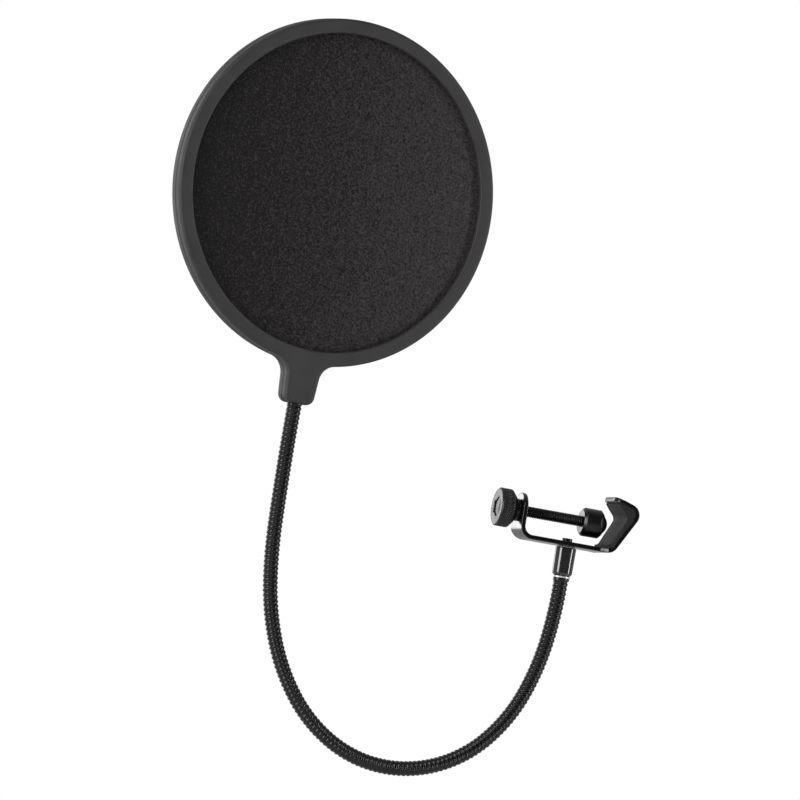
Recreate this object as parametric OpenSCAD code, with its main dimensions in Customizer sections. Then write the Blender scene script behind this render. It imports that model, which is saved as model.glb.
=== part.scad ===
// Pop filter: a two-screen hoop on a gooseneck, with a screw clamp for a stand.
// The origin is the centre of the gripped tube, +Y runs along that tube,
// +X runs from the knob to the claw and +Z is up.

/* [Hoop] */
// Outer radius of the hoop
hoop_r = 77.5; // [76:0.1:79]
// Radius of the opening in the hoop
opening_r = 71; // [70:0.1:72]
// Thickness of the hoop from front to back
hoop_t = 9.5; // [9:0.1:10.5]
// Turn of the hoop about its neck
hoop_yaw = 8.25; // [0:0.25:20]
// Depth of each screen below the hoop's face
screen_recess = 2.75; // [2.4:0.05:3]
// Thickness of one screen
screen_t = 0.25; // [0.2:0.05:0.4]

/* [Hoop neck] */
// Length of the neck below the hoop's rim
neck_len = 18; // [16:0.5:22]
// Width of the neck at its middle
neck_w = 16; // [15:0.5:17]
// Thickness of the neck from front to back
neck_t = 9; // [8.8:0.1:9.4]

/* [Gooseneck] */
// Outer diameter of the outer winding
goose_d = 6.8; // [6.6:0.1:7]
// Outer diameter of the inner winding
core_d = 4.3; // [4:0.1:4.4]
// Diameter of the hollow inside the inner winding
hollow_d = 2.6; // [2:0.1:2.8]
// Length of one link of the gooseneck
link_len = 26.5; // [25:0.1:28]
// Bend of each link in degrees, from the clamp to the hoop
link_bends = [8, 13, 20, 25, 26, 27, 23, 17, 13, 7, 1, 1.2];

/* [Clamp] */
// Radius of the gripped tube
seat_r = 11; // [10.6:0.1:11.2]
// Thickness of the steel strap
strap_t = 2; // [1.8:0.1:2.2]
// Width of the strap's bar and upright
strap_w = 16; // [15:0.5:17]
// Width of the claw and its liner
claw_w = 21; // [20:0.5:22]
// Height of the screw's axis relative to the tube's centre
screw_z = -2.4; // [-3:0.1:-2]
// Diameter of the thumb screw
screw_d = 5; // [4.8:0.1:5]
// Diameter of the knob
knob_d = 17.4; // [16:0.1:18]

/* [Swivel] */
// Position of the swivel's axis along the bar
swivel_x = -10.6; // [-12:0.1:-10]
// Diameter of the ferrule at its top
ferrule_d = 9.4; // [9:0.1:10]

/* [Hidden] */
$fn = 96;

// Clearance of a shaft in its hole, and a small gap between flat faces
fit_gap = 0.05;
// A length that runs past whatever it cuts, and a short one
past = 60;
over = 1;

// Outer line of the strap, from the upright's top to the claw's tip
strap_path = [
    [-35.5, screw_z + strap_w / 2], [-35.5, -14.7], [8.3, -14.7], [20.2, 6.4], [6.4, 10.8]
];
strap_bends = [0, 6, 5, 5];
bend_steps = 12;
upright_x = strap_path[0][0];
bar_z = strap_path[1][1] + strap_t;
seat_from = -64;
seat_to = 45;
// Straight sides of the seat, outside the tube's circle, from the bar to the upper side's end
seat_low = -25;
seat_high = 42;
seat_base = bar_z + 1.6;
seat_bends = [0, 2, 3];
// Where the strap starts to widen into the claw, and over what length
claw_x = 3;
claw_flare = 3;
claw_tip_r = 5;

// Foot of the screw, along X
foot_from = -5.8;
foot_to = 3.9;
foot_d = 12.8;
foot_chamfer = 1.2;
chamber_from = -1.8;
chamber_d = 8;
nose_from = 2;
nose_d = 9;
nose_h = 2.5;
nose_disc_t = 1.5;
rim_chamfer = 1.2;
screw_tip = 0.9;
clip_from = -1.6;
clip_t = 0.8;
clip_d = 7.4;
groove_d = 3.8;

// Knob, along X
knob_gap = 0.2;
hub_to = upright_x - knob_gap;
hub_d = 10;
hub_len = 2.1;
knob_chamfer = 2;
knob_len = 6;
knob_from = hub_to - hub_len - knob_chamfer - knob_len;
shoulder_d = 12;
head_from = knob_from + 0.6;
head_h = 3.5;
head_flats = 8;

// Swivel, along Z
pin_d = 2.5;
pin_head_d = 4.5;
pin_head_h = 1.6;
pin_len = 9;
washer_t = 0.5;
washer_d = 8;
ferrule_top = bar_z - strap_t - fit_gap - washer_t;
ferrule_low = -28.2;
ferrule_low_d = 9;
ferrule_chamfer = 1.3;
ferrule_end_d = 6.6;
ring_t = 0.7;
ring_d = 8;
collar_t = 1.3;
collar_d = 7.3;
stud_d = 4.5;
stud_len = 6;
spigot_len = 5;
spigot_d = hollow_d - 0.2;

// Gooseneck: links count from the clamp
links = len(link_bends);
ball_r = goose_d / 2 - 0.1;
bore_d = core_d + 2 * fit_gap;
ball_bore_d = bore_d + 0.4;
rim_gap = 1.5;
core_gap = 3.6;
link_fn = 48;
start = [swivel_x, ferrule_low - ring_t - collar_t];
function turned(i) = i == 0 ? 0 : turned(i - 1) + link_bends[i - 1];
function heading(i) = -90 - turned(i);
function arc_r(i) = link_len * 180 / (PI * link_bends[i]);
// Chord of link i as a length and a direction
function chord_len(i) =
    link_bends[i] == 0 ? link_len : 2 * arc_r(i) * sin(link_bends[i] / 2);
function chord_dir(i) = heading(i) - link_bends[i] / 2;
function place(i) = i == 0 ? start
    : place(i - 1) + chord_len(i - 1) * [cos(chord_dir(i - 1)), sin(chord_dir(i - 1))];

// Hoop: its centre, and radii and depths in its own frame
hoop_lean = turned(links) - 180;
neck_end = hoop_r + neck_len;
hoop_x = place(links)[0] + neck_end * sin(hoop_lean);
hoop_z = place(links)[1] + neck_end * cos(hoop_lean);
wall_r = 74.8;
spacer_r = 71.6;
edge_out = 1.6;
edge_in = 0.8;
seam = 0.3;
face_y = hoop_t / 2;
screen_y = face_y - screen_recess;
neck_fillet = 8;
fillet_x = neck_w / 2 + neck_fillet;
fillet_z = -sqrt(pow(hoop_r + neck_fillet, 2) - pow(fillet_x, 2));
neck_corner = 4;
neck_taper = 1.2;
neck_low_w = neck_w - neck_taper;
anchor_len = 12;
flange_t = 1.5;
flange_d = 8.2;
flange_top = 1;
case_screw_x = 5.4;
case_screw_z = -90;
case_screw_d = 2;
case_head_d = 3.6;
case_head_t = 1.4;
case_play = 0.2;
case_screw_in = 2.6;

// ---- small helpers ----

module along_x(from, to, d) {
    translate([from, 0, screw_z]) rotate([0, 90, 0]) cylinder(h = to - from, d = d);
}

module cone_x(from, to, d1, d2) {
    translate([from, 0, screw_z]) rotate([0, 90, 0]) cylinder(h = to - from, d1 = d1, d2 = d2);
}

module pie(r, from, to) {
    mid = (from + to) / 2;
    polygon([
        [0, 0], r * [cos(from), sin(from)], r * [cos(mid), sin(mid)], r * [cos(to), sin(to)]
    ]);
}

// Stands an outline drawn in X and Z up and gives it a width along Y
module stand_up(w) {
    rotate([90, 0, 0]) linear_extrude(w, center = true) children();
}

// ---- strap ----

function side(a) = [-sin(a), cos(a)];
function dir_of(path, i) =
    let (d = path[i + 1] - path[i]) atan2(d[1], d[0]);
function turn_of(path, i) = (dir_of(path, i) - dir_of(path, i - 1) + 360) % 360;
// Points along bend i of a path that turns left, at a depth to its left
function bend_points(path, radii, i, depth) =
    let (r = radii[i], a = dir_of(path, i - 1), turn = turn_of(path, i))
    let (c = path[i] - r * tan(turn / 2) * [cos(a), sin(a)] + r * side(a))
    [for (k = [0:bend_steps]) c - (r - depth) * side(a + turn * k / bend_steps)];
// The whole line with its bends
function line_points(path, radii, depth) = let (last = len(path) - 1) [
    path[0] + depth * side(dir_of(path, 0)),
    for (i = [1:last - 1]) each bend_points(path, radii, i, depth),
    path[last] + depth * side(dir_of(path, last - 1))
];
function reversed(list) = [for (k = [len(list) - 1:-1:0]) list[k]];

module strap_outline() {
    polygon([
        each line_points(strap_path, strap_bends, 0),
        each reversed(line_points(strap_path, strap_bends, strap_t))
    ]);
}

// Widths of the bar and claw seen from above, and of the upright seen along X
module strap_limits() {
    wide_x = claw_x + claw_flare;
    translate([0, 0, -past]) linear_extrude(past) polygon([
        [upright_x / 2, -strap_w / 2], [claw_x, -strap_w / 2], [wide_x, -claw_w / 2],
        [past, -claw_w / 2], [past, claw_w / 2], [wide_x, claw_w / 2],
        [claw_x, strap_w / 2], [upright_x / 2, strap_w / 2]
    ]);
    claw_tip_limits();
    translate([upright_x - over, 0, 0]) rotate([90, 0, 90])
        linear_extrude(over - upright_x / 2) union() {
            translate([-strap_w / 2, -past]) square([strap_w, past + screw_z]);
            translate([0, screw_z]) circle(strap_w / 2);
        }
}

module claw_tip_limits() {
    tip_x = strap_path[4][0] - over;
    linear_extrude(past) union() {
        translate([tip_x + claw_tip_r, -claw_w / 2]) square([past, claw_w]);
        translate([tip_x, claw_tip_r - claw_w / 2]) square([past, claw_w - 2 * claw_tip_r]);
        for (s = [-1, 1])
            translate([tip_x + claw_tip_r, s * (claw_w / 2 - claw_tip_r)]) circle(claw_tip_r);
    }
}

module clamp_strap() {
    color("#1b1b1c") difference() {
        intersection() {
            stand_up(claw_w) strap_outline();
            strap_limits();
        }
        along_x(upright_x - over, upright_x + strap_t + over, screw_d + 2 * fit_gap);
        on_swivel(bar_z - strap_t - over, strap_t + 2 * over, pin_d + 2 * fit_gap);
    }
}

// Corner where the seat's two straight sides would meet
function seat_corner() =
    let (half = (seat_high - seat_low) / 2, a = (seat_high + seat_low) / 2)
    seat_r / cos(half) * [cos(a), sin(a)];

// Free space in the claw: the tube's circle and a blunt V outside it
module seat_space() {
    corner = seat_corner();
    foot_x = corner[0] + (corner[1] - seat_base) * tan(seat_low);
    high = seat_r * [cos(seat_high), sin(seat_high)];
    circle(seat_r);
    polygon([
        [0, 0], each line_points([[0, seat_base], [foot_x, seat_base], corner, high], seat_bends, 0)
    ]);
}

module jaw_liner() {
    color("#333133") intersection() {
        stand_up(claw_w) difference() {
            intersection() {
                polygon(line_points(strap_path, strap_bends, strap_t));
                pie(past, seat_from, seat_to);
            }
            seat_space();
        }
        strap_limits();
    }
}

// ---- screw and foot ----

module pressure_cup() {
    color("#1d1c1d") difference() {
        union() {
            cone_x(foot_from, foot_from + foot_chamfer, foot_d - 2 * foot_chamfer, foot_d);
            along_x(foot_from + foot_chamfer, foot_to - rim_chamfer, foot_d);
            cone_x(foot_to - rim_chamfer, foot_to, foot_d, foot_d - 2 * rim_chamfer);
        }
        along_x(foot_from - over, chamber_from + over, screw_d + 2 * fit_gap);
        along_x(chamber_from, nose_from + over, chamber_d);
        along_x(nose_from, foot_to + over, nose_d);
    }
}

module pressure_nose() {
    dome_r = (pow(nose_d / 2, 2) + pow(nose_h, 2)) / (2 * nose_h);
    color("#232223") translate([0, 0, screw_z]) rotate([0, 90, 0]) rotate_extrude() {
        translate([0, screw_tip + 2 * fit_gap]) square([chamber_d / 2, nose_disc_t]);
        intersection() {
            translate([0, foot_to + nose_h - dome_r]) circle(dome_r);
            translate([0, nose_from]) square([nose_d / 2, past]);
        }
    }
}

module thumb_screw() {
    color("#2a2a2b") difference() {
        union() {
            along_x(head_from, screw_tip, screw_d);
            translate([head_from, 0, screw_z]) rotate([0, 90, 0])
                cylinder(h = head_h, r = head_flats / sqrt(3), $fn = 6);
        }
        difference() {
            along_x(clip_from, clip_from + clip_t, clip_d);
            along_x(clip_from - over, clip_from + clip_t + over, groove_d);
        }
    }
}

module knob() {
    color("#222123") difference() {
        union() {
            along_x(knob_from, knob_from + knob_len, knob_d);
            cone_x(knob_from + knob_len, hub_to - hub_len, knob_d, shoulder_d);
            along_x(hub_to - hub_len, hub_to, hub_d);
        }
        along_x(head_from, hub_to + over, screw_d);
        translate([knob_from - over, 0, screw_z]) rotate([0, 90, 0])
            cylinder(h = head_from + head_h - knob_from + over, r = head_flats / sqrt(3), $fn = 6);
    }
}

module foot_retainer() {
    color("#b8b8b8") difference() {
        along_x(clip_from, clip_from + clip_t, clip_d);
        along_x(clip_from - over, clip_from + clip_t + over, groove_d);
    }
}

// ---- swivel ----

module on_swivel(z, h, d) {
    translate([swivel_x, 0, z]) cylinder(h = h, d = d);
}

module swivel_screw() {
    top = bar_z + fit_gap;
    color("#29292a") union() {
        on_swivel(top, pin_head_h, pin_head_d);
        on_swivel(top - pin_len, pin_len, pin_d);
    }
}

module swivel_washer() {
    color("#cfcfcf") difference() {
        on_swivel(ferrule_top, washer_t, washer_d);
        on_swivel(ferrule_top - over, washer_t + 2 * over, pin_d);
    }
}

module ferrule() {
    z = ferrule_low + ferrule_chamfer;
    color("#0d0d0d") difference() {
        union() {
            translate([swivel_x, 0, z]) cylinder(h = ferrule_top - z, d1 = ferrule_low_d, d2 = ferrule_d);
            translate([swivel_x, 0, ferrule_low])
                cylinder(h = ferrule_chamfer, d1 = ferrule_end_d, d2 = ferrule_low_d);
        }
        on_swivel(bar_z + fit_gap - pin_len, pin_len, pin_d);
        on_swivel(ferrule_low - over, stud_len + over, stud_d);
    }
}

module ferrule_ring() {
    color("#e6e6e6") difference() {
        on_swivel(ferrule_low - ring_t, ring_t, ring_d);
        on_swivel(ferrule_low - ring_t - over, ring_t + 2 * over, stud_d);
    }
}

module end_collar() {
    z = ferrule_low - ring_t;
    color("#1a1a1b") union() {
        on_swivel(z - collar_t, collar_t, collar_d);
        on_swivel(z, ring_t + stud_len, stud_d);
        on_swivel(z - collar_t - spigot_len, spigot_len, spigot_d);
    }
}

// ---- gooseneck ----

// A tube along link i, starting after a length of it
module arc_tube(i, skip, outer, inner) {
    b = link_bends[i];
    h = heading(i);
    if (b == 0) {
        at_point(i) translate([0, 0, skip]) difference() {
            cylinder(h = link_len - skip, d = outer);
            translate([0, 0, -over]) cylinder(h = link_len + 2 * over, d = inner);
        }
    } else {
        r = arc_r(i);
        c = place(i) + r * [sin(h), -cos(h)];
        translate([c[0], 0, c[1]]) rotate([90, 0, 0]) rotate([0, 0, h + 90 - b])
            rotate_extrude(angle = b * (1 - skip / link_len), $fn = 360) translate([r, 0])
                difference() {
                    circle(d = outer, $fn = link_fn);
                    circle(d = inner, $fn = link_fn);
                }
    }
}

// Puts a shape at the start of link i with its Z along the gooseneck
module at_point(i) {
    translate([place(i)[0], 0, place(i)[1]]) rotate([0, 90 - heading(i), 0]) children();
}

// Round end that the next link's socket turns on
module ball(i) {
    at_point(i) difference() {
        sphere(ball_r, $fn = link_fn);
        translate([0, 0, -goose_d]) cylinder(h = 2 * goose_d, d = ball_bore_d);
    }
}

module neck_link(i) {
    color("#171718") union() {
        difference() {
            arc_tube(i, i == 0 ? 0 : rim_gap, goose_d, bore_d);
            if (i > 0) at_point(i) sphere(ball_r + fit_gap, $fn = link_fn);
        }
        if (i < links - 1) ball(i + 1);
    }
}

module core_link(i) {
    color("#3a3a3b") arc_tube(i, i == 0 ? 0 : core_gap, core_d, hollow_d);
}

// ---- hoop ----

// Puts a shape in the hoop's frame: its centre at 0, the front towards -Y
module on_hoop() {
    translate([hoop_x, 0, hoop_z]) rotate([0, hoop_lean, 0]) rotate([0, 0, hoop_yaw]) children();
}

// Turns a profile of radius and depth about the hoop's axis
module revolve() {
    rotate([90, 0, 0]) rotate_extrude($fn = 180) children();
}

module frame_profile() {
    difference() {
        union() {
            translate([opening_r, screen_y]) square([hoop_r - opening_r, screen_recess]);
            translate([wall_r, 0]) square([hoop_r - wall_r, screen_y]);
        }
        difference() {
            translate([hoop_r - edge_out, face_y - edge_out]) square(2 * edge_out);
            translate([hoop_r - edge_out, face_y - edge_out]) circle(edge_out);
        }
        difference() {
            translate([opening_r - edge_in, face_y - edge_in]) square(2 * edge_in);
            translate([opening_r + edge_in, face_y - edge_in]) circle(edge_in);
        }
        translate([hoop_r, 0]) rotate(45) square(seam * sqrt(2), center = true);
    }
}

module neck_outline() {
    low_z = neck_corner - neck_end;
    difference() {
        union() {
            for (s = [0, 1]) mirror([s, 0]) difference() {
                polygon([[0, 0], [0, fillet_z], [fillet_x, fillet_z]]);
                translate([fillet_x, fillet_z]) circle(neck_fillet);
            }
            polygon([
                [-neck_w / 2, fillet_z], [neck_w / 2, fillet_z],
                [neck_low_w / 2, low_z], [-neck_low_w / 2, low_z]
            ]);
            for (s = [-1, 1]) translate([s * (neck_low_w / 2 - neck_corner), low_z]) circle(neck_corner);
            translate([neck_corner - neck_low_w / 2, -neck_end])
                square([neck_low_w - 2 * neck_corner, neck_corner]);
        }
        circle(hoop_r - over);
    }
}

// Half of the hoop and its neck, with the front half's face towards -Y
module half_frame() {
    difference() {
        union() {
            revolve() frame_profile();
            rotate([90, 0, 0]) linear_extrude(neck_t / 2) neck_outline();
        }
        anchor_space();
    }
}

module anchor_space() {
    translate([0, 0, -neck_end - over]) cylinder(h = anchor_len + over, d = goose_d);
    translate([0, 0, anchor_len - neck_end - flange_top - flange_t]) cylinder(h = flange_t, d = flange_d);
}

module front_frame() {
    color("#3c3b3b") on_hoop() difference() {
        half_frame();
        case_screw_places() translate([0, 0, -case_screw_in])
            cylinder(h = case_screw_in + over, d = case_screw_d);
    }
}

module rear_frame() {
    color("#3c3b3b") on_hoop() difference() {
        mirror([0, 1, 0]) half_frame();
        case_screw_places() {
            translate([0, 0, -over]) cylinder(h = neck_t, d = case_screw_d + case_play);
            translate([0, 0, neck_t / 2 - case_head_t]) cylinder(h = neck_t, d = case_head_d + case_play);
        }
    }
}

// Places for the two neck screws: Z points to the back of the hoop
module case_screw_places() {
    for (s = [-1, 1]) translate([s * case_screw_x, 0, case_screw_z]) rotate([-90, 0, 0]) children();
}

module neck_screws() {
    color("#8d8d8f") on_hoop() case_screw_places() {
        translate([0, 0, -case_screw_in])
            cylinder(h = case_screw_in + neck_t / 2 - case_head_t, d = case_screw_d);
        translate([0, 0, neck_t / 2 - case_head_t]) cylinder(h = case_head_t, d = case_head_d);
    }
}

module neck_anchor() {
    color("#9a9a9c") on_hoop() translate([0, 0, -neck_end]) union() {
        cylinder(h = anchor_len, d = goose_d);
        translate([0, 0, anchor_len - flange_top - flange_t]) cylinder(h = flange_t, d = flange_d);
        translate([0, 0, -spigot_len]) cylinder(h = spigot_len, d = spigot_d);
    }
}

module spacer_ring() {
    depth = screen_y - screen_t;
    color("#262627") on_hoop() revolve() translate([spacer_r, -depth]) square([wall_r - spacer_r, 2 * depth]);
}

module screen(y) {
    on_hoop() translate([0, y, 0]) rotate([90, 0, 0]) cylinder(h = screen_t, r = wall_r - fit_gap, $fn = 180);
}

module front_screen() {
    color("#1c1a1b") screen(screen_t - screen_y);
}

module rear_screen() {
    color("#161516") screen(screen_y);
}

clamp_strap();
jaw_liner();
pressure_cup();
pressure_nose();
thumb_screw();
knob();
foot_retainer();
swivel_screw();
swivel_washer();
ferrule();
ferrule_ring();
end_collar();
neck_link(0);  // neck_01
neck_link(1);  // neck_02
neck_link(2);  // neck_03
neck_link(3);  // neck_04
neck_link(4);  // neck_05
neck_link(5);  // neck_06
neck_link(6);  // neck_07
neck_link(7);  // neck_08
neck_link(8);  // neck_09
neck_link(9);  // neck_10
neck_link(10);  // neck_11
neck_link(11);  // neck_12
core_link(0);  // core_01
core_link(1);  // core_02
core_link(2);  // core_03
core_link(3);  // core_04
core_link(4);  // core_05
core_link(5);  // core_06
core_link(6);  // core_07
core_link(7);  // core_08
core_link(8);  // core_09
core_link(9);  // core_10
core_link(10);  // core_11
core_link(11);  // core_12
neck_anchor();
front_frame();
rear_frame();
spacer_ring();
front_screen();
rear_screen();
neck_screws();
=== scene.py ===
"""Looks of the pop filter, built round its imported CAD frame. Lengths in the shapes are in millimetres."""

from math import atan2, cos, hypot, pi, radians, sin, sqrt, tan

import bmesh
import bpy
from mathutils import Matrix, Vector


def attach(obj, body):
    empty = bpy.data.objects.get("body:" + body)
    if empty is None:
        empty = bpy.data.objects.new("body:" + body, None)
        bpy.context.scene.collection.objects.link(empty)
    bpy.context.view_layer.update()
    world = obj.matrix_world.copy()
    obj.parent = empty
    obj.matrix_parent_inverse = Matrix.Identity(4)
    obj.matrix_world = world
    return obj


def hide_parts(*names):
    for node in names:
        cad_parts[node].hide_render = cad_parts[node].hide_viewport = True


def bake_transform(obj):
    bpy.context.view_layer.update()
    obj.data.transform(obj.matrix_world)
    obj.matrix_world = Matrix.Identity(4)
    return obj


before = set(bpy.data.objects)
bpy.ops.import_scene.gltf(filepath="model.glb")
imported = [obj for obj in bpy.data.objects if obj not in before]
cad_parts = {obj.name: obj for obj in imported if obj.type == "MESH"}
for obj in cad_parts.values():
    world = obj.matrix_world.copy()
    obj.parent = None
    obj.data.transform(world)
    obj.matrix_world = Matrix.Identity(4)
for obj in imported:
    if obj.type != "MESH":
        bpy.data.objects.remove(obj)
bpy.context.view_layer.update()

MM = 0.001

# Hoop, in its own frame: centre at 0, front towards -Y
HOOP_X, HOOP_Z, HOOP_YAW, HOOP_LEAN = -144.542, 122.104, 8.25, 1.2
HOOP_R, OPENING_R, FACE_Y = 77.5, 71.0, 4.75
WALL_R, SPACER_R, SCREEN_Y, SCREEN_T = 74.8, 71.6, 2.0, 0.25
EDGE_OUT, EDGE_IN, SEAM = 1.6, 0.8, 0.55
NECK_END, NECK_W, NECK_LOW_W, NECK_T = 95.5, 16.0, 14.8, 9.0
NECK_FILLET, NECK_CORNER = 8.0, 4.0
CASE_X, CASE_Z = 5.4, -90.0

# Along X, in metres, where the screens' painted light runs from few light specks to many: a lighter side
# painted into the knit's colour
PAINTED_LIGHT_FROM, PAINTED_LIGHT_TO = -0.215, -0.075

# Gooseneck, from the clamp to the hoop
GOOSE_R, CORE_R = 3.4, 2.15
LINK_LEN = 26.5
LINK_BENDS = (8, 13, 20, 25, 26, 27, 23, 17, 13, 7, 1, 1.2)
GOOSE_START = (-10.6, -30.2)
GOOSE_PITCH = 2.12
# At this hinge the winding's near and far ends are swapped. The others stay as they are.
TURNED_HINGE = 4

# Clamp
STRAP_PATH = ((-35.5, 5.6), (-35.5, -14.7), (8.3, -14.7), (20.2, 6.4), (6.4, 10.8))
BEND_R = (0.0, 6.0, 5.0, 5.0, 0.0)
STRAP_T, STRAP_W, CLAW_W, CLAW_TIP_R = 2.0, 16.0, 21.0, 5.0
FLARE_FROM, FLARE_TO = 3.0, 6.0
SEAT_R, SEAT_FROM, SEAT_TO = 11.0, -64.0, 45.0
SEAT_LOW, SEAT_HIGH, SEAT_BASE = -25.0, 42.0, -11.1
SCREW_Z, SCREW_R, SCREW_PITCH = -2.4, 2.5, 0.8
SWIVEL_X = -10.6


# ---- camera, light and stage ----


def add_camera():
    """Long lens in front of the hoop and a little below it, tilted about its own axis."""
    azimuth, elevation, roll = radians(-17.5), radians(-3.4), radians(9.2)
    flat = Vector((cos(azimuth), sin(azimuth), 0))
    back = Vector((sin(azimuth) * cos(elevation), -cos(azimuth) * cos(elevation), sin(elevation)))
    rise = back.cross(flat)
    right = flat * cos(roll) + rise * sin(roll)
    up = rise * cos(roll) - flat * sin(roll)
    data = bpy.data.cameras.new("camera")
    data.lens = 910.0
    data.sensor_width = 36.0
    data.clip_end = 50.0
    camera = bpy.data.objects.new("camera", data)
    bpy.context.scene.collection.objects.link(camera)
    place = Matrix((right, up, back)).transposed().to_4x4()
    place.translation = Vector((-0.09835, 0.0, 0.03655)) + back * 9.0
    camera.matrix_world = place
    bpy.context.scene.camera = camera


def add_light(name, place, aim, size, power):
    data = bpy.data.lights.new(name, "AREA")
    data.shape = "RECTANGLE"
    data.size, data.size_y = size
    data.energy = power
    light = bpy.data.objects.new(name, data)
    bpy.context.scene.collection.objects.link(light)
    light.location = place
    light.rotation_euler = (Vector(aim) - Vector(place)).to_track_quat("-Z", "Y").to_euler()


def add_lights():
    """Softboxes above, at the left, behind at the left, and a narrow one at the right."""
    clamp_side = (-0.05, 0, 0.0)
    add_light("key", (-0.9, -1.5, 1.6), (-0.1, 0, 0.05), (1.0, 1.0), 11.0)
    add_light("left", (-1.95, -0.65, 0.2), clamp_side, (0.8, 1.4), 24.0)
    add_light("rim", (-0.85, 1.9, 0.15), clamp_side, (0.55, 1.4), 11.0)
    add_light("right", (1.7, -1.0, 0.3), clamp_side, (0.25, 1.4), 16.0)


def add_world():
    """White behind the object, and a dimmer room behind the camera for what the pieces mirror."""
    world = bpy.data.worlds.new("studio")
    world.use_nodes = True
    nodes, links = world.node_tree.nodes, world.node_tree.links
    nodes.clear()
    out = nodes.new("ShaderNodeOutputWorld")
    mix = nodes.new("ShaderNodeMixShader")
    seen = nodes.new("ShaderNodeBackground")
    seen.inputs["Color"].default_value = (1, 1, 1, 1)
    room = nodes.new("ShaderNodeBackground")
    ramp = nodes.new("ShaderNodeValToRGB")
    ramp.color_ramp.elements[0].position = 0.25
    ramp.color_ramp.elements[0].color = (0.06, 0.06, 0.06, 1)
    ramp.color_ramp.elements[1].position = 0.75
    ramp.color_ramp.elements[1].color = (0.5, 0.5, 0.5, 1)
    coords = nodes.new("ShaderNodeTexCoord")
    split = nodes.new("ShaderNodeSeparateXYZ")
    level = nodes.new("ShaderNodeMapRange")
    level.inputs["From Min"].default_value = -1
    path = nodes.new("ShaderNodeLightPath")
    links.new(coords.outputs["Generated"], split.inputs[0])
    links.new(split.outputs["Y"], level.inputs["Value"])
    links.new(level.outputs[0], ramp.inputs["Fac"])
    links.new(ramp.outputs["Color"], room.inputs["Color"])
    links.new(path.outputs["Is Camera Ray"], mix.inputs["Fac"])
    links.new(room.outputs[0], mix.inputs[1])
    links.new(seen.outputs[0], mix.inputs[2])
    links.new(mix.outputs[0], out.inputs["Surface"])
    bpy.context.scene.world = world


def add_floor(material):
    """A pale floor well under the hanging filter."""
    steps = 48
    points = [(2500 * cos(2 * pi * k / steps), 2500 * sin(2 * pi * k / steps), -360) for k in range(steps)]
    floor = solid("floor", points, [tuple(range(steps))], material)


# ---- materials ----


def material_tree(name, roughness, metallic):
    material = bpy.data.materials.new(name)
    material.use_nodes = True
    tree = material.node_tree
    shader = tree.nodes["Principled BSDF"]
    shader.inputs["Metallic"].default_value = metallic
    shader.inputs["Roughness"].default_value = roughness
    coords = tree.nodes.new("ShaderNodeTexCoord")
    return material, tree, shader, coords


def noise(tree, coords, size, detail=2.0):
    """Noise whose blotches are about size millimetres across."""
    node = tree.nodes.new("ShaderNodeTexNoise")
    node.inputs["Scale"].default_value = 1000.0 / size
    node.inputs["Detail"].default_value = detail
    tree.links.new(coords.outputs["Object"], node.inputs["Vector"])
    return node.outputs["Fac"]


def colour_between(tree, value, low, high, from_low=0.3, from_high=0.7):
    ramp = tree.nodes.new("ShaderNodeValToRGB")
    ramp.color_ramp.elements[0].position = from_low
    ramp.color_ramp.elements[0].color = (*low, 1)
    ramp.color_ramp.elements[1].position = from_high
    ramp.color_ramp.elements[1].color = (*high, 1)
    tree.links.new(value, ramp.inputs["Fac"])
    return ramp.outputs["Color"]


def number_between(tree, value, low, high):
    span = tree.nodes.new("ShaderNodeMapRange")
    span.inputs["From Min"].default_value = 0.3
    span.inputs["From Max"].default_value = 0.7
    span.inputs["To Min"].default_value = low
    span.inputs["To Max"].default_value = high
    tree.links.new(value, span.inputs["Value"])
    return span.outputs[0]


def add_bump(tree, shader, value, strength, depth):
    bump = tree.nodes.new("ShaderNodeBump")
    bump.inputs["Strength"].default_value = strength
    bump.inputs["Distance"].default_value = depth * MM
    tree.links.new(value, bump.inputs["Height"])
    tree.links.new(bump.outputs["Normal"], shader.inputs["Normal"])


def surface(name, colour, roughness, metallic=0.0, spread=0.15, wear=0.06, grain=0.5, depth=0.03, coat=0.0):
    """Moulded, coated or plated surface: uneven colour and gloss in patches, and a fine grain."""
    material, tree, shader, coords = material_tree(name, roughness, metallic)
    patches = noise(tree, coords, grain * 24, 3.0)
    fine = noise(tree, coords, grain, 2.0)
    low = tuple(c * (1 - spread) for c in colour)
    high = tuple(c * (1 + spread) for c in colour)
    tree.links.new(colour_between(tree, patches, low, high), shader.inputs["Base Color"])
    gloss = number_between(tree, patches, roughness - wear, roughness + wear)
    tree.links.new(gloss, shader.inputs["Roughness"])
    add_bump(tree, shader, fine, 0.6, depth)
    shader.inputs["Coat Weight"].default_value = coat
    shader.inputs["Coat Roughness"].default_value = 0.12
    return material


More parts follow.
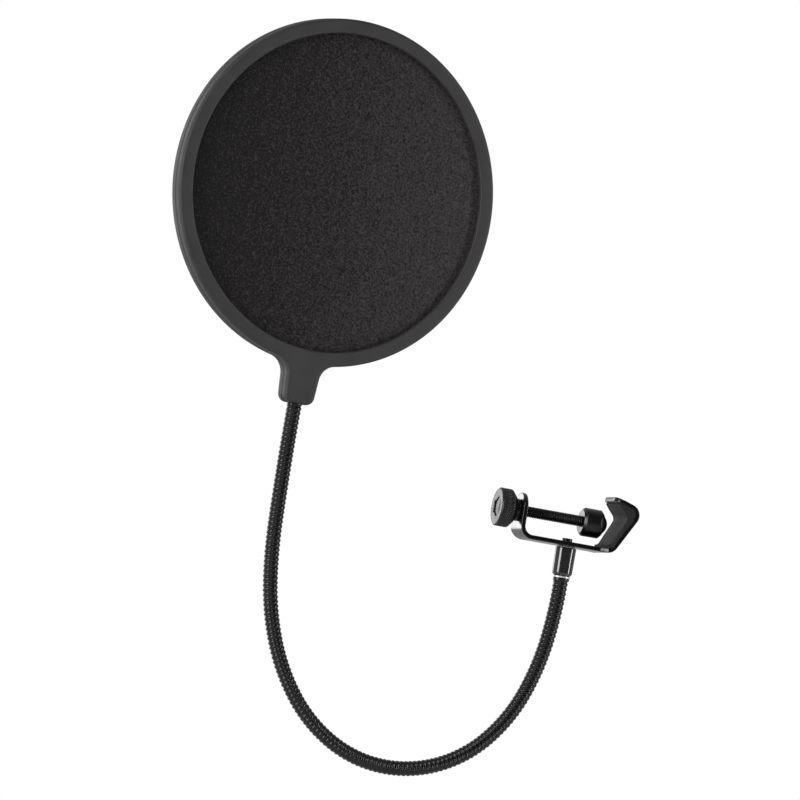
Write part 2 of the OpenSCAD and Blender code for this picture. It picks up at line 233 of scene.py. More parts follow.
def knit(name, dark, light, cover, stitch):
    """Sheer black knit: fine stitches, and light specks whose number grows towards the clamp's side as
    painted light, a lighter side painted into the colour.
    """
    material, tree, shader, coords = material_tree(name, 0.85, 0.0)
    specks = noise(tree, coords, 0.9, 3.0)
    split = tree.nodes.new("ShaderNodeSeparateXYZ")
    tree.links.new(coords.outputs["Object"], split.inputs[0])
    # Painted light: a ramp along X gives more light specks towards the clamp's side, painting a lighter side
    # into the colour
    painted_light_ramp = tree.nodes.new("ShaderNodeMapRange")
    painted_light_ramp.inputs["From Min"].default_value = PAINTED_LIGHT_FROM
    painted_light_ramp.inputs["From Max"].default_value = PAINTED_LIGHT_TO
    painted_light_ramp.inputs["To Min"].default_value = -0.16
    painted_light_ramp.inputs["To Max"].default_value = 0.12
    tree.links.new(split.outputs["X"], painted_light_ramp.inputs["Value"])
    whole = tree.nodes.new("ShaderNodeMath")
    whole.operation = "ADD"
    tree.links.new(specks, whole.inputs[0])
    tree.links.new(painted_light_ramp.outputs[0], whole.inputs[1])
    # Colour from the knit's own specks plus the painted light ramp
    specks_and_painted_light = colour_between(tree, whole.outputs[0], dark, light, 0.38, 0.8)
    tree.links.new(specks_and_painted_light, shader.inputs["Base Color"])
    holes = tree.nodes.new("ShaderNodeTexVoronoi")
    holes.inputs["Scale"].default_value = 1000.0 / stitch
    holes.inputs["Randomness"].default_value = 0.35
    tree.links.new(coords.outputs["Object"], holes.inputs["Vector"])
    opening = tree.nodes.new("ShaderNodeMapRange")
    opening.inputs["From Min"].default_value = 0.1
    opening.inputs["From Max"].default_value = 0.5
    opening.inputs["To Min"].default_value = cover
    opening.inputs["To Max"].default_value = 1.0
    tree.links.new(holes.outputs["Distance"], opening.inputs["Value"])
    tree.links.new(opening.outputs[0], shader.inputs["Alpha"])
    add_bump(tree, shader, holes.outputs["Distance"], 0.5, 0.1)
    shader.inputs["Sheen Weight"].default_value = 0.08
    shader.inputs["Sheen Roughness"].default_value = 0.5
    shader.inputs["Specular IOR Level"].default_value = 0.3
    return material


def make_materials():
    return {
        "hoop": surface("hoop_plastic", (0.034, 0.0315, 0.0325), 0.55, grain=0.5, depth=0.02),
        "spacer": surface("spacer_plastic", (0.012, 0.0115, 0.0115), 0.6),
        "front_mesh": knit("front_knit", (0.004, 0.0028, 0.003), (0.075, 0.066, 0.068), 0.86, 0.7),
        "rear_mesh": knit("rear_knit", (0.003, 0.0025, 0.0026), (0.012, 0.0105, 0.011), 0.86, 0.75),
        "winding": surface("gooseneck_wire", (0.0025, 0.0025, 0.0027), 0.24, 0.0, 0.15, 0.05, 0.4, 0.006),
        "core": surface("inner_wire", (0.02, 0.02, 0.021), 0.45, metallic=0.6),
        "anchor": surface("anchor_steel", (0.4, 0.4, 0.41), 0.35, metallic=1.0),
        "strap": surface("strap_coat", (0.003, 0.003, 0.0032), 0.17, wear=0.04, depth=0.005, coat=0.2),
        "liner": surface("liner_rubber", (0.009, 0.0087, 0.009), 0.75, grain=0.35, depth=0.04),
        "foot": surface("foot_plastic", (0.0025, 0.0025, 0.0025), 0.28, depth=0.006),
        "nose": surface("nose_rubber", (0.012, 0.012, 0.012), 0.65),
        "screw": surface("screw_zinc", (0.012, 0.012, 0.0125), 0.3, metallic=0.4),
        "knob": surface("knob_plastic", (0.005, 0.0049, 0.0049), 0.33, depth=0.012),
        "clip": surface("clip_steel", (0.5, 0.5, 0.5), 0.3, metallic=1.0),
        "swivel_screw": surface("pin_zinc", (0.02, 0.02, 0.021), 0.3, metallic=0.5),
        "washer": surface("washer_nylon", (0.55, 0.55, 0.53), 0.5),
        "ferrule": surface("ferrule_gloss", (0.1, 0.1, 0.1), 0.13, metallic=0.8, wear=0.03, depth=0.002),
        "ring": surface("ring_plate", (0.9, 0.9, 0.9), 0.35, 0.5, spread=0.05, wear=0.04, depth=0.004),
        "collar": surface("collar_coat", (0.008, 0.008, 0.008), 0.3),
        "case_screw": surface("case_steel", (0.4, 0.4, 0.4), 0.35, metallic=1.0),
        "floor": surface("floor_paint", (0.8, 0.8, 0.79), 0.7, spread=0.02, grain=4.0),
    }


# ---- mesh tools ----


def tidy(mesh, crease):
    """Joins double points, turns faces outwards and smooths all but the edges sharper than crease."""
    work = bmesh.new()
    work.from_mesh(mesh)
    bmesh.ops.remove_doubles(work, verts=work.verts, dist=2e-6)
    bmesh.ops.recalc_face_normals(work, faces=work.faces)
    work.to_mesh(mesh)
    work.free()
    mesh.shade_smooth()
    mesh.set_sharp_from_angle(angle=radians(crease))


def solid(name, points, faces, material, place=None, crease=32.0):
    mesh = bpy.data.meshes.new(name)
    mesh.from_pydata([Vector(p) * MM for p in points], [], faces)
    if place is not None:
        mesh.transform(place)
    tidy(mesh, crease)
    mesh.materials.append(material)
    obj = bpy.data.objects.new(name, mesh)
    bpy.context.scene.collection.objects.link(obj)
    return obj


def loft(rings, close_ring=True, close_loft=False, caps=False):
    """Points and faces of a skin over rings of equally many points."""
    count = len(rings[0])
    points = [p for ring in rings for p in ring]
    faces = []
    for i in range(len(rings) if close_loft else len(rings) - 1):
        a, b = i * count, (i + 1) % len(rings) * count
        for k in range(count if close_ring else count - 1):
            n = (k + 1) % count
            faces.append((a + k, a + n, b + n, b + k))
    if caps:
        faces.append(tuple(range(count))[::-1])
        faces.append(tuple((len(rings) - 1) * count + k for k in range(count)))
    return points, faces


def rounded(corners, closed=True, steps=4):
    """A line through corners (a, b, radius) with each corner rounded."""
    line = []
    last = len(corners) - 1
    for k, (a, b, radius) in enumerate(corners):
        if radius == 0 or (not closed and k in (0, last)):
            line.append((a, b))
            continue
        here = Vector((a, b))
        before = (Vector(corners[k - 1][:2]) - here).normalized()
        after = (Vector(corners[(k + 1) % len(corners)][:2]) - here).normalized()
        half = before.angle(after) / 2
        centre = here + (before + after).normalized() * radius / sin(half)
        first = here + before * radius / tan(half) - centre
        end = here + after * radius / tan(half) - centre
        angle = atan2(first.y, first.x)
        sweep = (atan2(end.y, end.x) - angle + pi) % (2 * pi) - pi
        for i in range(steps + 1):
            turn = angle + sweep * i / steps
            line.append((centre.x + radius * cos(turn), centre.y + radius * sin(turn)))
    return line


def lathe(name, line, material, place, closed=True, steps=72):
    """A line of (height, radius) turned about Z, then placed."""
    rings = []
    for k in range(steps):
        turn = 2 * pi * k / steps
        rings.append([(r * cos(turn), r * sin(turn), h) for h, r in line])
    return flat_faced(solid(name, *loft(rings, closed, True), material, place))


def flat_faced(obj):
    """Keeps broad faces flat beside their rounded edges."""
    change = obj.modifiers.new("weighted", "WEIGHTED_NORMAL")
    change.keep_sharp = True
    change.weight = 80
    return obj


def box(name, low, high, place=None):
    points = [(x, y, z) for x in (low[0], high[0]) for y in (low[1], high[1]) for z in (low[2], high[2])]
    faces = [(0, 1, 3, 2), (4, 6, 7, 5), (0, 4, 5, 1), (2, 3, 7, 6), (0, 2, 6, 4), (1, 5, 7, 3)]
    return solid(name, points, faces, bpy.data.materials["hoop_plastic"], place)


def rod(name, radius, low, high, place, steps=48):
    line = [(low, 0), (low, radius), (high, radius), (high, 0)]
    turns = [2 * pi * k / steps for k in range(steps)]
    rings = [[(r * cos(turn), r * sin(turn), h) for h, r in line] for turn in turns]
    return solid(name, *loft(rings, False, True), bpy.data.materials["hoop_plastic"], place)


def cut(target, *cutters):
    """Takes each cutter out of the target, and removes the cutter."""
    for cutter in cutters:
        change = target.modifiers.new("cut", "BOOLEAN")
        change.operation = "DIFFERENCE"
        change.solver = "EXACT"
        change.object = cutter
        bpy.context.view_layer.update()
        made = target.evaluated_get(bpy.context.evaluated_depsgraph_get())
        mesh = bpy.data.meshes.new_from_object(made)
        target.modifiers.clear()
        material = target.data.materials[0]
        target.data = mesh
        mesh.materials.clear()
        mesh.materials.append(material)
        bpy.data.objects.remove(cutter, do_unlink=True)
    tidy(target.data, 32.0)
    return target


def on_x(x=0.0):
    """Z of a lathe piece along X, on the screw's axis."""
    return Matrix.Translation(Vector((x, 0, SCREW_Z)) * MM) @ Matrix.Rotation(radians(90), 4, "Y")


def on_swivel():
    return Matrix.Translation(Vector((SWIVEL_X, 0, 0)) * MM)


def on_hoop():
    centre = Matrix.Translation(Vector((HOOP_X, 0, HOOP_Z)) * MM)
    lean = Matrix.Rotation(radians(HOOP_LEAN), 4, "Y")
    return centre @ lean @ Matrix.Rotation(radians(HOOP_YAW), 4, "Z")


def join(name, *objs):
    """One object from several closed shells of the same material."""
    work = bmesh.new()
    for obj in objs:
        work.from_mesh(obj.data)
    mesh = bpy.data.meshes.new(name)
    work.to_mesh(mesh)
    work.free()
    mesh.materials.append(objs[0].data.materials[0])
    mesh.set_sharp_from_angle(angle=radians(32))
    whole = bpy.data.objects.new(name, mesh)
    bpy.context.scene.collection.objects.link(whole)
    for obj in objs:
        bpy.data.objects.remove(obj, do_unlink=True)
    return whole


def finish_piece(obj, body, slot, *nodes):
    """Ties a piece to its body and hides the CAD nodes it stands for; slot is not used."""
    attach(obj, body)
    if nodes:
        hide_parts(*nodes)


# ---- hoop ----


def hoop_outline():
    """Outer line of the hoop and its neck as (x, z, normal x, normal z)."""
    fillet_x = NECK_W / 2 + NECK_FILLET
    fillet_z = -sqrt((HOOP_R + NECK_FILLET) ** 2 - fillet_x**2)
    reach = atan2(fillet_x, -fillet_z)
    low_z = NECK_CORNER - NECK_END
    line = []
    for k in range(217):
        a = -pi / 2 + reach + (2 * pi - 2 * reach) * k / 216
        line.append((HOOP_R * cos(a), HOOP_R * sin(a), cos(a), sin(a)))
    left = []
    for k in range(1, 13):
        a = (pi / 2 - reach) * (1 - k / 12)
        left.append((NECK_FILLET * cos(a) - fillet_x, fillet_z + NECK_FILLET * sin(a), -cos(a), -sin(a)))
    for k in range(1, 4):
        x = -NECK_W / 2 + (NECK_W - NECK_LOW_W) / 2 * k / 4
        left.append((x, fillet_z + (low_z - fillet_z) * k / 4, -1.0, 0.0))
    for k in range(9):
        a = pi + pi / 2 * k / 8
        x = NECK_CORNER - NECK_LOW_W / 2
        left.append((x + NECK_CORNER * cos(a), low_z + NECK_CORNER * sin(a), cos(a), sin(a)))
    middle = [(x, -NECK_END, 0.0, -1.0) for x in (-1.7, 0.0, 1.7)]
    right = [(-x, z, -nx, nz) for x, z, nx, nz in reversed(left)]
    return line + left + middle + right


def hoop_half(name, side, material):
    """Half of the hoop and neck; side is -1 for the front and 1 for the rear."""
    outline = hoop_outline()
    outer = [(SEAM, 0.0), (0.0, SEAM), (0.0, FACE_Y - EDGE_OUT)]
    for k in range(1, 7):
        a = pi / 2 * k / 6
        outer.append((EDGE_OUT * (1 - cos(a)), FACE_Y - EDGE_OUT + EDGE_OUT * sin(a)))
    inner = []
    for k in range(5):
        a = pi / 2 * k / 4
        inner.append((OPENING_R + EDGE_IN * (1 - sin(a)), FACE_Y - EDGE_IN * (1 - cos(a))))
    inner += [(OPENING_R, SCREEN_Y + 0.3), (OPENING_R + 0.3, SCREEN_Y), (WALL_R, SCREEN_Y), (WALL_R, 0.0)]
    rings = []
    for inset, y in outer:
        rings.append([(x - inset * nx, side * y, z - inset * nz) for x, z, nx, nz in outline])
    for radius, y in inner:
        ring = []
        for x, z, _, _ in outline:
            far = hypot(x, z)
            ring.append((radius * x / far, side * y, radius * z / far))
        rings.append(ring)
    half = solid(name, *loft(rings, True, True), material, on_hoop())
    along = on_hoop() @ Matrix.Translation((0, 0, -NECK_END * MM))
    return cut(half, rod("anchor_hole", GOOSE_R + 0.02, -2.0, 12.1, along))


def case_screw_place(x):
    return on_hoop() @ Matrix.Translation(Vector((x, 0, CASE_Z)) * MM) @ Matrix.Rotation(radians(-90), 4, "X")


def case_screw(x, material):
    """Pan screw with a cross recess, let into the rear half of the neck."""
    place = case_screw_place(x)
    top = NECK_T / 2
    corners = [(-2.5, 0, 0), (-2.5, 0.9, 0.2), (3.1, 1.0, 0), (3.1, 1.75, 0), (top, 1.75, 0.5), (top, 0, 0)]
    screw = lathe("case_screw", rounded(corners, False), material, place, False, 32)
    arms = [box("arm", (-1.1, -0.17, top - 0.7), (1.1, 0.17, top + 1), place)]
    arms.append(box("arm", (-0.17, -1.1, top - 0.7), (0.17, 1.1, top + 1), place))
    return cut(screw, *arms)


def screen(name, y, material):
    """Stretched disc of knit cloth."""
    radius = WALL_R - 0.05
    rings = []
    for i in range(13):
        r = max(radius * i / 12, 0.001)
        rings.append([(r * cos(2 * pi * k / 96), y, r * sin(2 * pi * k / 96)) for k in range(96)])
    disc = solid(name, *loft(rings), material, on_hoop())
    return disc


def build_hoop(m):
    front = flat_faced(hoop_half("hoop_front", -1, m["hoop"]))
    rear = hoop_half("hoop_rear", 1, m["hoop"])
    for x in (-CASE_X, CASE_X):
        cut(rear, rod("well", 1.9, NECK_T / 2 - 1.4, NECK_T, case_screw_place(x)))
    flat_faced(rear)
    finish_piece(front, "hoop", "hoop", "front_frame")
    finish_piece(rear, "hoop", "hoop", "rear_frame")
    depth = SCREEN_Y - SCREEN_T
    corners = [(-depth, SPACER_R, 0.3), (-depth, WALL_R, 0), (depth, WALL_R, 0), (depth, SPACER_R, 0.3)]
    place = on_hoop() @ Matrix.Rotation(radians(90), 4, "X")
    spacer = lathe("spacer", rounded(corners), m["spacer"], place, True, 180)
    finish_piece(spacer, "hoop", "spacer", "spacer_ring")
    for side, y in (("front", SCREEN_T / 2 - SCREEN_Y), ("rear", SCREEN_Y - SCREEN_T / 2)):
        knitted = screen(side + "_knit", y, m[side + "_mesh"])
        finish_piece(knitted, "hoop", side + "_mesh", side + "_screen")
    screws = join("case_screws", *[case_screw(x, m["case_screw"]) for x in (-CASE_X, CASE_X)])
    finish_piece(screws, "hoop", "case_screw", "neck_screws")


# ---- gooseneck ----


def centreline(length):
    """Point and heading of the gooseneck at a length from the clamp's end."""
    x, z = GOOSE_START
    heading = -pi / 2
    for bend in LINK_BENDS:
        part = min(length, LINK_LEN)
        turn = radians(bend) * part / LINK_LEN
        chord = part if turn == 0 else 2 * part / turn * sin(turn / 2)
        x += chord * cos(heading - turn / 2)
        z += chord * sin(heading - turn / 2)
        heading -= turn
        length -= part
        if length <= 0:
            break
    return x, z, heading


def wire_profile(u):
    """Depth of the outer winding below its crest: a round wire, and a wedge wire in the gap."""
    if u < 0.7:
        v = (u - 0.35) / 0.37
        return 0.5 * (1 - sqrt(max(0.0, 1 - v * v)))
    v = abs(u - 0.85) / 0.15
    return 0.22 + 0.26 * v


def core_profile(u):
    v = (u - 0.5) / 0.52
    return 0.3 * (1 - sqrt(1 - v * v))


def wound_tube(name, start, end, radius, bore, pitch, profile, per_turn, around, material):
    """Closed wall of a hose wound from wire, between two lengths along the centreline."""

    def ring(length, wound):
        x, z, heading = centreline(length)
        made = []
        for k in range(around):
            turn = 2 * pi * k / around
            r = radius - profile((length / pitch - k / around) % 1.0) if wound else bore
            out = r * sin(turn)
            made.append((x - out * sin(heading), r * cos(turn), z + out * cos(heading)))
        return made

    count = round((end - start) / pitch * per_turn)
    rings = [ring(start + (end - start) * k / count, True) for k in range(count + 1)]
    rings += [ring(end + (start - end) * k / 12, False) for k in range(13)]
    return solid(name, *loft(rings, True, True), material, None, 50.0)


def gooseneck_piece(name, start, end, kind, m):
    if kind == "winding":
        return wound_tube(name, start, end, GOOSE_R, 2.25, GOOSE_PITCH, wire_profile, 12, 40, m["winding"])
    return wound_tube(name, start, end, CORE_R, 1.3, 1.4, core_profile, 4, 12, m["core"])


def build_gooseneck(m):
    """Pieces from the middle of one link to the middle of the next, each spanning the joint between."""
    links = len(LINK_BENDS)
    total = links * LINK_LEN
    bodies = ["swivel"] + ["link_%02d" % k for k in range(2, links)] + ["hoop"]
    margin = 0.9
    for kind, node in (("winding", "neck"), ("core", "core")):
        first = gooseneck_piece(kind + "_start", 0.0, LINK_LEN / 2, kind, m)
        finish_piece(first, "swivel", kind, node + "_01")
        for k in range(1, links):
            start, end = (k - 0.5) * LINK_LEN, (k + 0.5) * LINK_LEN
            piece = gooseneck_piece("%s_%02d" % (kind, k + 1), start, end, kind, m)
            x0, z0, _ = centreline(start + margin)
            x1, z1, _ = centreline(end - margin)
            near = (bodies[k - 1], (x0 * MM, 0, z0 * MM))
            far = (bodies[k], (x1 * MM, 0, z1 * MM))
            if k == TURNED_HINGE:
                near, far = far, near
            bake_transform(piece)
            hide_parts("%s_%02d" % (node, k + 1))
        last = gooseneck_piece(kind + "_end", total - LINK_LEN / 2, total, kind, m)
        finish_piece(last, "hoop", kind)


# ---- strap and liner ----


def strap_pieces():
    """Straights and arcs of the strap's outer line, each with its length."""
    pieces = []
    here = Vector(STRAP_PATH[0])
    for k in range(1, len(STRAP_PATH)):
        corner = Vector(STRAP_PATH[k])
        before = (corner - Vector(STRAP_PATH[k - 1])).normalized()
        if k == len(STRAP_PATH) - 1:
            pieces.append(("line", here, before, (corner - here).length, 0.0))
            break
        after = (Vector(STRAP_PATH[k + 1]) - corner).normalized()
        turn = before.angle(after)
        back = BEND_R[k] * tan(turn / 2)
        pieces.append(("line", here, before, (corner - before * back - here).length, 0.0))
        centre = corner - before * back + Vector((-before.y, before.x)) * BEND_R[k]
        pieces.append(("arc", centre, before, BEND_R[k] * turn, BEND_R[k]))
        here = corner + after * back
    return pieces


STRAP_PIECES = strap_pieces()
STRAP_LEN = sum(piece[3] for piece in STRAP_PIECES)


def on_strap(length, y, depth):
    """Point at a length along the strap, across it, and below its outer face."""
    for kind, base, way, size, radius in STRAP_PIECES:
        if length <= size or base is STRAP_PIECES[-1][1]:
            break
        length -= size
    side = Vector((-way.y, way.x))
    if kind == "line":
        p = base + way * length + side * depth
    else:
        turn = length / radius
        p = base + (way * sin(turn) - side * cos(turn)) * (radius - depth)
    return (p.x, y, p.y)


def strap_stations():
    """Lengths where the strap's straights end, and steps round its bends."""
    stations = []
    done = 0.0
    for kind, _, _, size, _ in STRAP_PIECES:
        count = 10 if kind == "arc" else 1
        stations += [done + size * k / count for k in range(count)]
        done += size
    bar = STRAP_PIECES[0][3] + STRAP_PIECES[1][3]
    bar_x = STRAP_PIECES[2][1].x
    flare = [bar + x - bar_x for x in (FLARE_FROM, (FLARE_FROM + FLARE_TO) / 2, FLARE_TO)]
    middle = [s for s in stations if STRAP_W / 2 < s < STRAP_LEN - CLAW_TIP_R]
    return sorted(middle + flare), flare


def strap_edge(inset):
    """The strap's edge as (length, half width), taken in by inset."""
    stations, flare = strap_stations()
    radius = STRAP_W / 2 - inset
    edge = []
    for k in range(17):
        a = pi / 2 * (1 - k / 16)
        edge.append((STRAP_W / 2 - radius * sin(a), radius * cos(a)))
    for s in stations:
        share = min(1.0, max(0.0, (s - flare[0]) / (flare[2] - flare[0])))
        edge.append((s, STRAP_W / 2 + (CLAW_W - STRAP_W) / 2 * share - inset))
    radius = CLAW_TIP_R - inset
    for k in range(11):
        a = pi / 2 * k / 10
        edge.append((STRAP_LEN - CLAW_TIP_R + radius * sin(a), CLAW_W / 2 - CLAW_TIP_R + radius * cos(a)))
    return edge


def build_strap(m):
    """Steel strap: upright, bar and claw from one bent strip with rounded edges."""
    soft = 0.45
    levels = [(soft * (1 - sin(a)), soft * (1 - cos(a))) for a in (0, pi / 8, pi / 4, 3 * pi / 8, pi / 2)]
    levels += [(inset, STRAP_T - depth) for inset, depth in reversed(levels)]
    edges = [strap_edge(inset) for inset, _ in levels]
    rings = []
    for k in range(len(edges[0])):
        near = [on_strap(edge[k][0], -edge[k][1], depth) for edge, (_, depth) in zip(edges, levels)]
        far = [on_strap(edge[k][0], edge[k][1], depth) for edge, (_, depth) in zip(edges, levels)]
        rings.append(near + far[::-1])
    points, faces = loft(rings)
    count = 2 * len(levels)
    base = (len(rings) - 1) * count
    for k in range(len(levels) - 1):
        faces.append((base + k, base + k + 1, base + count - 2 - k, base + count - 1 - k))
    strap = solid("strap", points, faces, m["strap"])
    cut(strap, rod("hole", SCREW_R + 0.05, -37.0, -32.0, on_x()), rod("hole", 1.3, -16.0, -11.0, on_swivel()))
    finish_piece(flat_faced(strap), "clamp", "strap", "clamp_strap")


def along_ray(line, angle):
    """How far a ray from the seat's centre runs before it meets a line of (x, z) points."""
    for (x0, z0), (x1, z1) in zip(line, line[1:]):
        a = (atan2(z0, x0) - angle + pi) % (2 * pi) - pi
        b = (atan2(z1, x1) - angle + pi) % (2 * pi) - pi
        if a <= 0 <= b and b - a < 1:
            cross = x0 * z1 - x1 * z0
            return cross / (cos(angle) * (z1 - z0) - sin(angle) * (x1 - x0))
    return SEAT_R


def seat_lines():
    """Outer line of the liner, on the strap, and its inner line: a blunt V."""
    outer = []
    for k in range(241):
        x, _, z = on_strap(STRAP_LEN * (0.5 + 0.5 * k / 240), 0, STRAP_T)
        outer.append((x, z))
    half, middle = radians(SEAT_HIGH - SEAT_LOW) / 2, radians(SEAT_HIGH + SEAT_LOW) / 2
    far = SEAT_R / cos(half)
    x, z = far * cos(middle), far * sin(middle)
    foot_x = x + (z - SEAT_BASE) * tan(radians(SEAT_LOW))
    high = radians(SEAT_HIGH)
    corners = [(0, SEAT_BASE, 0), (foot_x, SEAT_BASE, 2.0), (x, z, 3.0)]
    corners += [(SEAT_R * cos(high), SEAT_R * sin(high), 0)]
    return outer, rounded(corners, False, 12)


def seat_width(x, z):
    """Width of the claw at a point, after the flare and the tip's round corners."""
    if z < 0:
        share = min(1.0, max(0.0, (x - FLARE_FROM) / (FLARE_TO - FLARE_FROM)))
        return STRAP_W + (CLAW_W - STRAP_W) * share
    reach = min(CLAW_TIP_R, max(0.0, STRAP_PATH[4][0] - 1 + CLAW_TIP_R - x))
    return CLAW_W - 2 * CLAW_TIP_R + 2 * sqrt(CLAW_TIP_R**2 - reach**2)


def build_liner(m):
    """Rubber seat inside the claw, with soft edges and a raised lip along each side."""
    rings = []
    outside, inside = seat_lines()
    steps = 84
    for k in range(steps + 1):
        angle = radians(SEAT_FROM + (SEAT_TO - SEAT_FROM) * k / steps)
        outer = along_ray(outside, angle) - 0.02
        inner = along_ray(inside, angle)
        half = min(seat_width(r * cos(angle), r * sin(angle)) for r in (inner, outer)) / 2
        line = [(-half, outer), (-half, inner + 0.6), (0.7 - half, inner - 0.2)]
        line += [(1.5 - half, inner - 0.1), (2.2 - half, inner)]
        line += [(-y, r) for y, r in reversed(line)]
        full = rounded([(y, r, 0.0 if i in (0, 9) else 0.3) for i, (y, r) in enumerate(line)], True, 3)
        rings.append([(r * cos(angle), y, r * sin(angle)) for y, r in full])
    liner = solid("liner", *loft(rings, True, False, True), m["liner"])
    finish_piece(flat_faced(liner), "clamp", "liner", "jaw_liner")


# ---- screw, foot and knob ----


def build_foot(m):
    corners = [(-5.8, 2.55, 0), (-5.8, 5.2, 0.3), (-4.6, 6.4, 0.5), (1.5, 6.4, 0.15), (1.7, 6.15, 0.08)]
    corners += [(2.0, 6.15, 0.08), (2.2, 6.4, 0.1), (2.7, 6.4, 0.3), (3.9, 5.2, 0.25), (3.9, 4.5, 0.1)]
    corners += [(2.0, 4.5, 0), (2.0, 4.0, 0), (-1.8, 4.0, 0), (-1.8, 2.55, 0)]
    foot = lathe("foot", rounded(corners), m["foot"], on_x())
    finish_piece(foot, "foot", "foot", "pressure_cup")
    dome = 5.21
    line = [(1.0, 0), (1.0, 3.95), (2.02, 3.95), (2.02, 4.45), (3.9, 4.45)]
    for k in range(1, 9):
        r = 4.45 * (1 - k / 8)
        line.append((6.4 - dome + sqrt(dome**2 - r**2), r))
    nose = lathe("nose", line, m["nose"], on_x(), False)
    finish_piece(nose, "foot", "nose", "pressure_nose")


def threaded_rod(name, low, high, material):
    """Right-hand thread between two lengths along X."""
    around, per_turn = 32, 8
    count = round((high - low) / SCREW_PITCH * per_turn)
    rings = []
    for i in range(count + 1):
        x = low + (high - low) * i / count
        ring = []
        for k in range(around):
            turn = 2 * pi * k / around
            u = (x / SCREW_PITCH - k / around) % 1.0
            depth = min(0.42, max(0.0, 1.15 * abs(u - 0.5) * SCREW_PITCH * 1.2 - 0.08))
            ring.append(((SCREW_R - depth) * cos(turn), (SCREW_R - depth) * sin(turn), x))
        rings.append(ring)
    return solid(name, *loft(rings, True, False, True), material, on_x(), 75.0)


def hexagon(radius, turn):
    """Radius of a hexagon's side, with a corner at turn 0."""
    return radius * cos(pi / 6) / cos((turn % (pi / 3)) - pi / 6)


def build_screw(m):
    thread = threaded_rod("thread", -42.0, -3.2, m["screw"])
    corners = [(-3.3, 0, 0), (-3.3, 2.1, 0), (-3.0, 2.45, 0), (-1.6, 2.45, 0), (-1.6, 1.9, 0)]
    corners += [(-0.8, 1.9, 0), (-0.8, 2.45, 0), (0.9, 2.45, 0.3), (0.9, 0, 0)]
    tip = lathe("tip", rounded(corners, False), m["screw"], on_x(), False, 48)
    rings = []
    for x, inset in ((-45.2, 0.55), (-44.95, 0.05), (-41.72, 0.03)):
        ring = []
        for k in range(60):
            turn = 2 * pi * k / 60
            r = min(hexagon(8 / sqrt(3), turn), 4.62) - inset
            ring.append((-r * cos(turn), r * sin(turn), x))
        rings.append(ring)
    head = solid("head", *loft(rings, True, False, True), m["screw"], on_x())
    screw = join("thumb_screw", thread, tip, head)
    finish_piece(screw, "screw", "screw", "thumb_screw")


def knurl(turn, x):
    """Height of a diamond knurl, from 0 in the grooves to 1 on the points."""
    a = turn * 44 / (2 * pi)
    b = x / 1.25
    return min(abs((a + b) % 1.0 - 0.5), abs((a - b) % 1.0 - 0.5)) * 2


def build_knob(m):
    """Knurled knob with a hexagon pocket in its face and a hub towards the strap."""
    around = 264
    hexed, plain, cut_in = "hex", "plain", "knurl"
    line = [(-35.7, 2.52, plain), (-41.7, 2.52, plain), (-41.7, 4.62, hexed), (-45.6, 4.62, hexed)]
    line += [(-45.8, 5.1, plain), (-45.8, 7.7, plain), (-45.7, 8.05, plain), (-45.45, 8.3, plain)]
    line += [(-45.3 + 0.2 * k, 8.7, cut_in) for k in range(27)]
    line += [(-39.95, 8.35, plain), (-39.7, 8.2, plain), (-37.9, 6.1, plain), (-37.75, 5.85, plain)]
    line += [(-37.7, 5.2, plain), (-37.5, 5.0, plain), (-35.95, 5.0, plain), (-35.7, 4.75, plain)]
    rings = []
    for x, radius, kind in line:
        ring = []
        for k in range(around):
            turn = 2 * pi * k / around
            r = radius
            if kind == hexed:
                r = hexagon(radius, turn)
            if kind == cut_in:
                r -= 0.32 * (1 - knurl(turn, x))
            ring.append((-r * cos(turn), r * sin(turn), x))
        rings.append(ring)
    knob = solid("knob", *loft(rings, True, True), m["knob"], on_x(), 40.0)
    finish_piece(knob, "screw", "knob", "knob")


def build_clip(m):
    """Snap ring on the screw's tip, open on one side."""
    rings = []
    for k in range(49):
        turn = radians(20 + 320 * k / 48)
        corners = [(-1.58, 1.95, 0.1), (-1.58, 3.6, 0.1), (-0.82, 3.6, 0.1), (-0.82, 1.95, 0.1)]
        line = rounded(corners, True, 2)
        rings.append([(r * cos(turn), r * sin(turn), x) for x, r in line])
    clip = solid("clip", *loft(rings, True, False, True), m["clip"], on_x())
    finish_piece(clip, "screw", "clip", "foot_retainer")


# ---- swivel ----


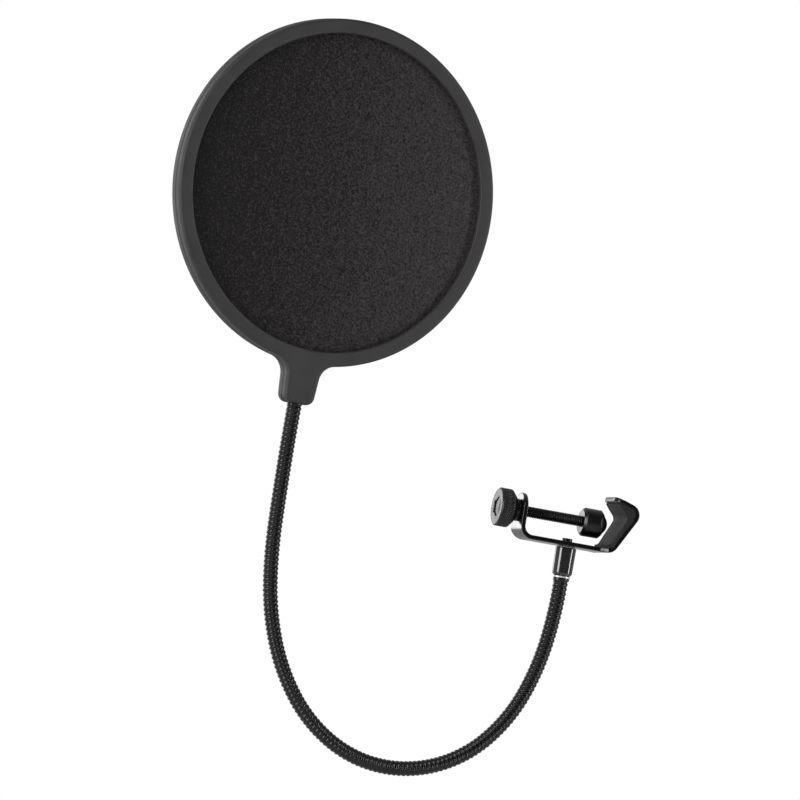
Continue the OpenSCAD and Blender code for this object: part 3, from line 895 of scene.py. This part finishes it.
def build_swivel(m):
    corners = [(-15.25, 1.27, 0), (-15.25, 4.7, 0.45), (-26.9, 4.5, 0.5), (-28.2, 3.3, 0.15)]
    corners += [(-28.2, 2.25, 0), (-22.2, 2.25, 0), (-22.2, 1.27, 0)]
    ferrule = lathe("ferrule", rounded(corners), m["ferrule"], on_swivel())
    finish_piece(ferrule, "swivel", "ferrule", "ferrule")
    corners = [(-28.2, 2.27, 0), (-28.2, 4.0, 0.2), (-28.9, 4.0, 0.2), (-28.9, 2.27, 0)]
    ring = lathe("ring", rounded(corners), m["ring"], on_swivel())
    finish_piece(ring, "swivel", "ring", "ferrule_ring")
    corners = [(-22.25, 0, 0), (-22.25, 2.22, 0), (-28.9, 2.22, 0), (-28.9, 3.65, 0.15), (-30.2, 3.65, 0.25)]
    corners += [(-30.2, 1.2, 0), (-35.2, 1.2, 0.2), (-35.2, 0, 0)]
    collar = lathe("collar", rounded(corners, False), m["collar"], on_swivel(), False)
    finish_piece(collar, "swivel", "collar", "end_collar")
    corners = [(-14.75, 1.27, 0), (-14.75, 4.0, 0.12), (-15.25, 4.0, 0.12), (-15.25, 1.27, 0)]
    washer = lathe("washer", rounded(corners), m["washer"], on_swivel())
    finish_piece(washer, "swivel", "washer", "swivel_washer")
    corners = [(-11.05, 0, 0), (-11.05, 2.25, 0.3), (-12.65, 2.25, 0.1), (-12.65, 1.25, 0)]
    corners += [(-21.65, 1.25, 0.2), (-21.65, 0, 0)]
    pin = lathe("pin", rounded(corners, False), m["swivel_screw"], on_swivel(), False)
    cut(pin, box("slot", (-4, -0.3, -11.85), (4, 0.3, -10), on_swivel()))
    finish_piece(pin, "swivel", "swivel_screw", "swivel_screw")


# ---- the whole scene ----


def build():
    add_camera()
    add_world()
    add_lights()
    m = make_materials()
    add_floor(m["floor"])
    build_hoop(m)
    build_gooseneck(m)
    build_strap(m)
    build_liner(m)
    build_foot(m)
    build_screw(m)
    build_knob(m)
    build_clip(m)
    build_swivel(m)
    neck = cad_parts["neck_anchor"]
    neck.data.materials.clear()
    neck.data.materials.append(m["anchor"])
    bpy.context.scene.view_settings.view_transform = "Standard"


build()
